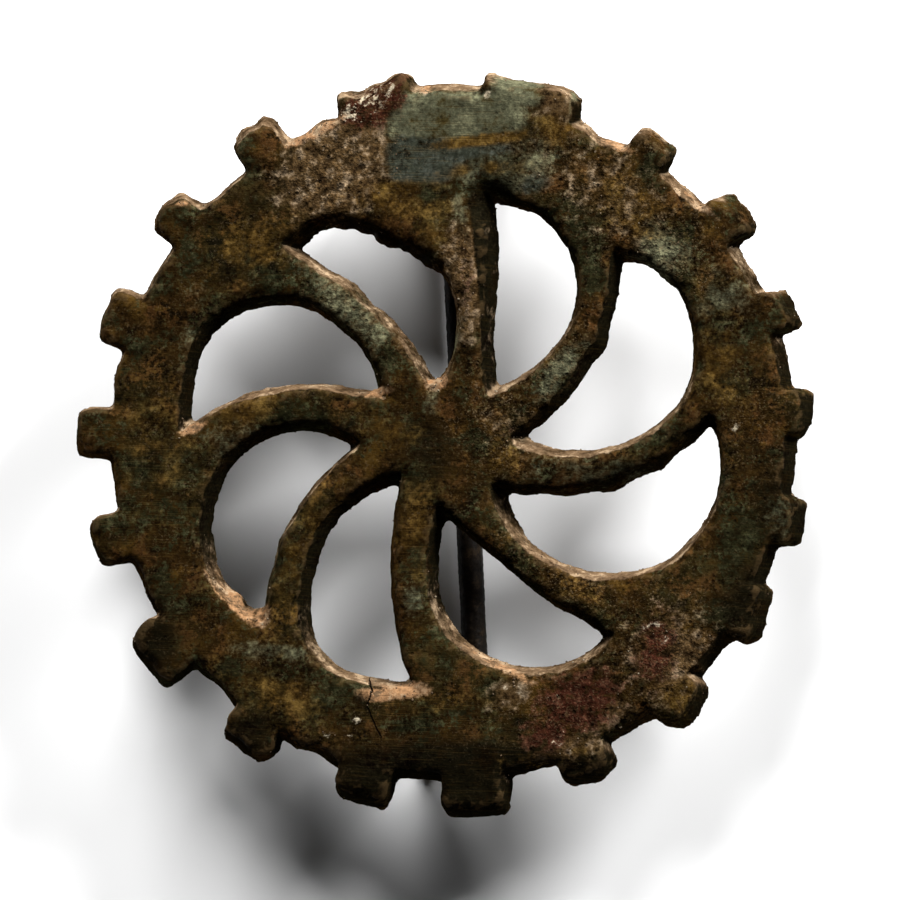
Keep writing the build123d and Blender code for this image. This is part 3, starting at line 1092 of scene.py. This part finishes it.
class BroochPinLook(bpy.types.PropertyGroup):
    """Sizes of the pin's weathering and colours of its metal."""

    mesh_size: length("Mesh size", 0.11, "Width of the faces that the pin's surface is made of")
    sink: length("Sink", 0.01, "How far the whole surface lies inside the plain shape")
    wave_depth: length("Wave depth", 0.10, "Depth of the slow waves in the surface")
    wave_size: length("Wave size", 2.5, "Width of the slow waves in the surface")
    pit_depth: length("Pit depth", 0.12, "Depth of the pitting")
    pit_size: length("Pit size", 0.4, "Width of the pitting")
    chip_depth: length("Chip depth", 0.0, "How far worn edges are chipped back")
    chip_size: length("Chip size", 1.0, "Length of the chips along an edge")
    roughness: number("Roughness", 0.4, "How strongly the surface is pitted", min=0.0, max=1.0)
    bore_room: length("Bore room", 0.70, "Least distance from the middle of the axle to the eye's wall")
    calm_radius: length("Calm radius", 1.4, "Distance from the middle of the axle where weathering starts")
    worn_radius: length("Worn radius", 3.0, "Distance from the middle of the axle where it is full")
    # The tones are darkened partly as painted shade from the disc above the pin
    dark: colour("Dark", 0.0020, 0.0014, 0.0010, "Darkest tone of the metal")
    metal: colour("Metal", 0.0060, 0.0042, 0.0028, "Middle tone of the metal")
    bloom: colour("Brown bloom", 0.0180, 0.0115, 0.0060, "Light tone of the metal")


class BroochSoilLook(bpy.types.PropertyGroup):
    """Amount and sizes of the soil crumbs."""

    per_square_mm: number("Crumbs", 7.0, "Crumbs on each square millimetre that is fully covered", min=0.0)
    smallest: length("Smallest", 0.030, "Radius of the smallest crumbs")
    largest: length("Largest", 0.090, "Radius of the largest crumbs")
    seed: bpy.props.IntProperty(name="Seed", description="Another number scatters them anew", default=4)


class BroochStageLook(bpy.types.PropertyGroup):
    """The floor, the lights and the camera."""

    floor_width: metres("Floor width", 12.0, "Width of the floor")
    floor: colour("Floor", 0.85, 0.85, 0.85, "Colour of the floor")
    top_zenith: angle("Top light zenith", 57, "Angle of the top light from straight above")
    top_turn: angle("Top light turn", -11, "Turn of the top light from the picture's top to the right")
    top_power: watts("Top light power", 53.0, "Power of the top light")
    top_width: metres("Top light width", 0.85, "Width of the top light")
    side_zenith: angle("Side light zenith", 69, "Angle of the side light from straight above")
    side_turn: angle("Side light turn", 46, "Turn of the side light from the picture's top to the right")
    side_power: watts("Side light power", 72.0, "Power of the side light")
    side_width: metres("Side light width", 0.58, "Width of the side light")
    light_distance: metres("Light distance", 1.6, "Distance of the lights")
    room_light: number("Room light", 0.012, "Strength of the light from all round", min=0.0)
    camera_distance: metres("Camera distance", 1.2, "Distance of the camera")


def lay_skin(piece, look, material):
    """Weather a remeshed piece by the sizes of its look, and finish it with a material."""
    sizes = {name.title(): getattr(look, name) for name in SKIN_SIZES}
    add_nodes(piece, weathered_skin_tree(), Material=material, **sizes)
    bake_modifiers(piece)
    piece.data.shade_smooth()


def clear_bore(mesh, room):
    """Hold the eye's wall off the axle, and give each point's distance from the axle's line."""
    offset = mesh_points(mesh) - axle_centre
    along = offset @ axle_line
    radial = offset - along[:, None] * axle_line
    radius = np.linalg.norm(radial, axis=1)
    radial *= (np.maximum(radius, room) / np.maximum(radius, LEAST_RADIUS))[:, None]
    move_points(mesh, axle_centre + along[:, None] * axle_line + radial)
    return np.linalg.norm(radial, axis=1)


class BROOCH_OT_openwork_disc(bpy.types.Operator):
    """Make the weathered openwork disc over the cast one."""

    bl_idname = "brooch.openwork_disc"
    bl_label = "Openwork disc"

    def execute(self, context):
        look = context.scene.brooch_disc
        disc = merged_copy("openwork_disc", "weathered_disc")
        add_lumps(disc)
        remesh(disc, look.mesh_size)
        push_outline(disc.data, look.crust)
        paint_masks(disc.data)
        lay_skin(disc, look, bronze_material(look))
        keep_inside(disc.data, *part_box("openwork_disc"))
        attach(disc, "disc")
        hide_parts("openwork_disc")
        return {"FINISHED"}


class BROOCH_OT_pin(bpy.types.Operator):
    """Make the corroded pin over the plain one, and give the axle the same metal."""

    bl_idname = "brooch.pin"
    bl_label = "Pin and axle"

    def execute(self, context):
        look = context.scene.brooch_pin
        metal = dark_metal_material(look)
        pin = merged_copy("brooch_pin", "corroded_pin")
        remesh(pin, look.mesh_size)
        radius = clear_bore(pin.data, look.bore_room)
        write_mask(pin.data, "play", smoothstep(look.calm_radius, look.worn_radius, radius))
        write_mask(pin.data, "rough", np.full(len(radius), look.roughness))
        lay_skin(pin, look, metal)
        keep_inside(pin.data, *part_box("brooch_pin"))
        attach(pin, "pin")
        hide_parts("brooch_pin")
        axle = frame["nodes"]["hinge_axle"]
        axle.data.materials.clear()
        axle.data.materials.append(metal)
        return {"FINISHED"}


def soil_hold(mesh):
    """Share of the full number of crumbs that each place of the disc holds."""
    hollow = smoothstep(0.0, 0.5, -read_mask(mesh, "edge"))
    hold = read_mask(mesh, "soil") * 0.5 + read_mask(mesh, "cream") * 0.4
    hold = hold + read_mask(mesh, "wall") * (0.10 + 0.5 * hollow) + read_mask(mesh, "pink") * 0.12
    return hold * rise(mesh_points(mesh), 0, 0.5)


class BROOCH_OT_soil(bpy.types.Operator):
    """Scatter crumbs of soil over the walls, corners and crusts of the disc."""

    bl_idname = "brooch.soil"
    bl_label = "Soil crumbs"

    def execute(self, context):
        look = context.scene.brooch_soil
        soil = new_piece("soil_crumbs", bpy.data.objects["weathered_disc"].data.copy())
        write_mask(soil.data, "crumbs", soil_hold(soil.data))
        add_nodes(soil, soil_crumbs_tree(), Crumbs_Per_Area=look.per_square_mm / MM ** 2,
                  Smallest=look.smallest, Largest=look.largest, Seed=look.seed,
                  Material=soil_material(context.scene.brooch_disc))
        bake_modifiers(soil)
        keep_inside(soil.data, *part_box("openwork_disc"))
        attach(soil, "disc")
        return {"FINISHED"}


class BROOCH_OT_stage(bpy.types.Operator):
    """Make the pale floor, the soft lights, the room's light and the camera."""

    bl_idname = "brooch.stage"
    bl_label = "Stage"

    def execute(self, context):
        look = context.scene.brooch_stage
        make_floor(look)
        make_world(look)
        for name in ("top", "side"):
            make_light(name, look)
        make_camera(look)
        context.scene.view_settings.view_transform = "Standard"
        return {"FINISHED"}


def make_floor(look):
    half = look.floor_width / 2
    mesh = bpy.data.meshes.new("floor")
    corners = [(-half, -half, 0), (half, -half, 0), (half, half, 0), (-half, half, 0)]
    mesh.from_pydata(corners, [], [(0, 1, 2, 3)])
    mesh.materials.append(floor_material(look))
    new_piece("floor", mesh)


def make_world(look):
    """Dim light from all round, on a backdrop that the camera sees as pale."""
    world = bpy.data.worlds.new("studio")
    world.use_nodes = True
    world.node_tree.nodes.clear()
    graph = Graph(world.node_tree)
    dim = graph.output("ShaderNodeBackground", {"Color": (1, 1, 1, 1), "Strength": look.room_light})
    pale = graph.output("ShaderNodeBackground", {"Color": (1, 1, 1, 1), "Strength": 1.0})
    seen = graph.output("ShaderNodeLightPath", key="Is Camera Ray")
    both = graph.output("ShaderNodeMixShader", {0: seen, 1: dim, 2: pale})
    graph.add("ShaderNodeOutputWorld", {"Surface": both})
    bpy.context.scene.world = world


def make_light(name, look):
    """A soft round light that faces the disc and isn't seen by the camera."""
    zenith = getattr(look, f"{name}_zenith")
    turn = getattr(look, f"{name}_turn")
    data = bpy.data.lights.new(f"{name} light", "AREA")
    data.shape = "DISK"
    data.size = getattr(look, f"{name}_width")
    data.energy = getattr(look, f"{name}_power")
    light = bpy.data.objects.new(f"{name} light", data)
    toward = Vector((math.sin(turn) * math.sin(zenith), math.cos(turn) * math.sin(zenith), math.cos(zenith)))
    place = camera_aim + toward * look.light_distance
    light.matrix_world = Matrix.Translation(place) @ toward.to_track_quat("Z", "Y").to_matrix().to_4x4()
    light.visible_camera = False
    bpy.context.scene.collection.objects.link(light)


def make_camera(look):
    """A camera that sees the square picture, at any distance."""
    data = bpy.data.cameras.new("camera")
    data.sensor_width = 36.0
    data.lens = data.sensor_width * look.camera_distance / (PHOTO_SIDE * PHOTO_PIXEL)
    data.clip_start = 0.01
    data.clip_end = 100.0
    camera = bpy.data.objects.new("camera", data)
    turn = Matrix((view_right, view_up, view_back)).transposed()
    camera.matrix_world = Matrix.Translation(camera_aim + view_back * look.camera_distance) @ turn.to_4x4()
    bpy.context.scene.collection.objects.link(camera)
    bpy.context.scene.camera = camera


class BROOCH_PT_panel(bpy.types.Panel):
    """Lists the pieces of the brooch, each with its sizes and colours."""

    bl_label = "Disc brooch"
    bl_idname = "BROOCH_PT_panel"
    bl_space_type = "VIEW_3D"
    bl_region_type = "UI"
    bl_category = "Brooch"

    def draw(self, context):
        for name, operator in zip(LOOKS, OPERATORS):
            look = getattr(context.scene, name)
            box = self.layout.box()
            box.operator(operator.bl_idname)
            for size in look.__annotations__:
                box.prop(look, size)


LOOKS = {
    "brooch_disc": BroochDiscLook,
    "brooch_pin": BroochPinLook,
    "brooch_soil": BroochSoilLook,
    "brooch_stage": BroochStageLook,
}
OPERATORS = (BROOCH_OT_openwork_disc, BROOCH_OT_pin, BROOCH_OT_soil, BROOCH_OT_stage)
CLASSES = (*LOOKS.values(), *OPERATORS, BROOCH_PT_panel)


def register():
    for item in CLASSES:
        bpy.utils.register_class(item)
    for name, look in LOOKS.items():
        setattr(bpy.types.Scene, name, bpy.props.PointerProperty(type=look))


def unregister():
    for name in LOOKS:
        delattr(bpy.types.Scene, name)
    for item in reversed(CLASSES):
        bpy.utils.unregister_class(item)


def main():
    register()
    bpy.ops.brooch.openwork_disc()
    bpy.ops.brooch.pin()
    bpy.ops.brooch.soil()
    bpy.ops.brooch.stage()


if __name__ == "__main__":
    main()
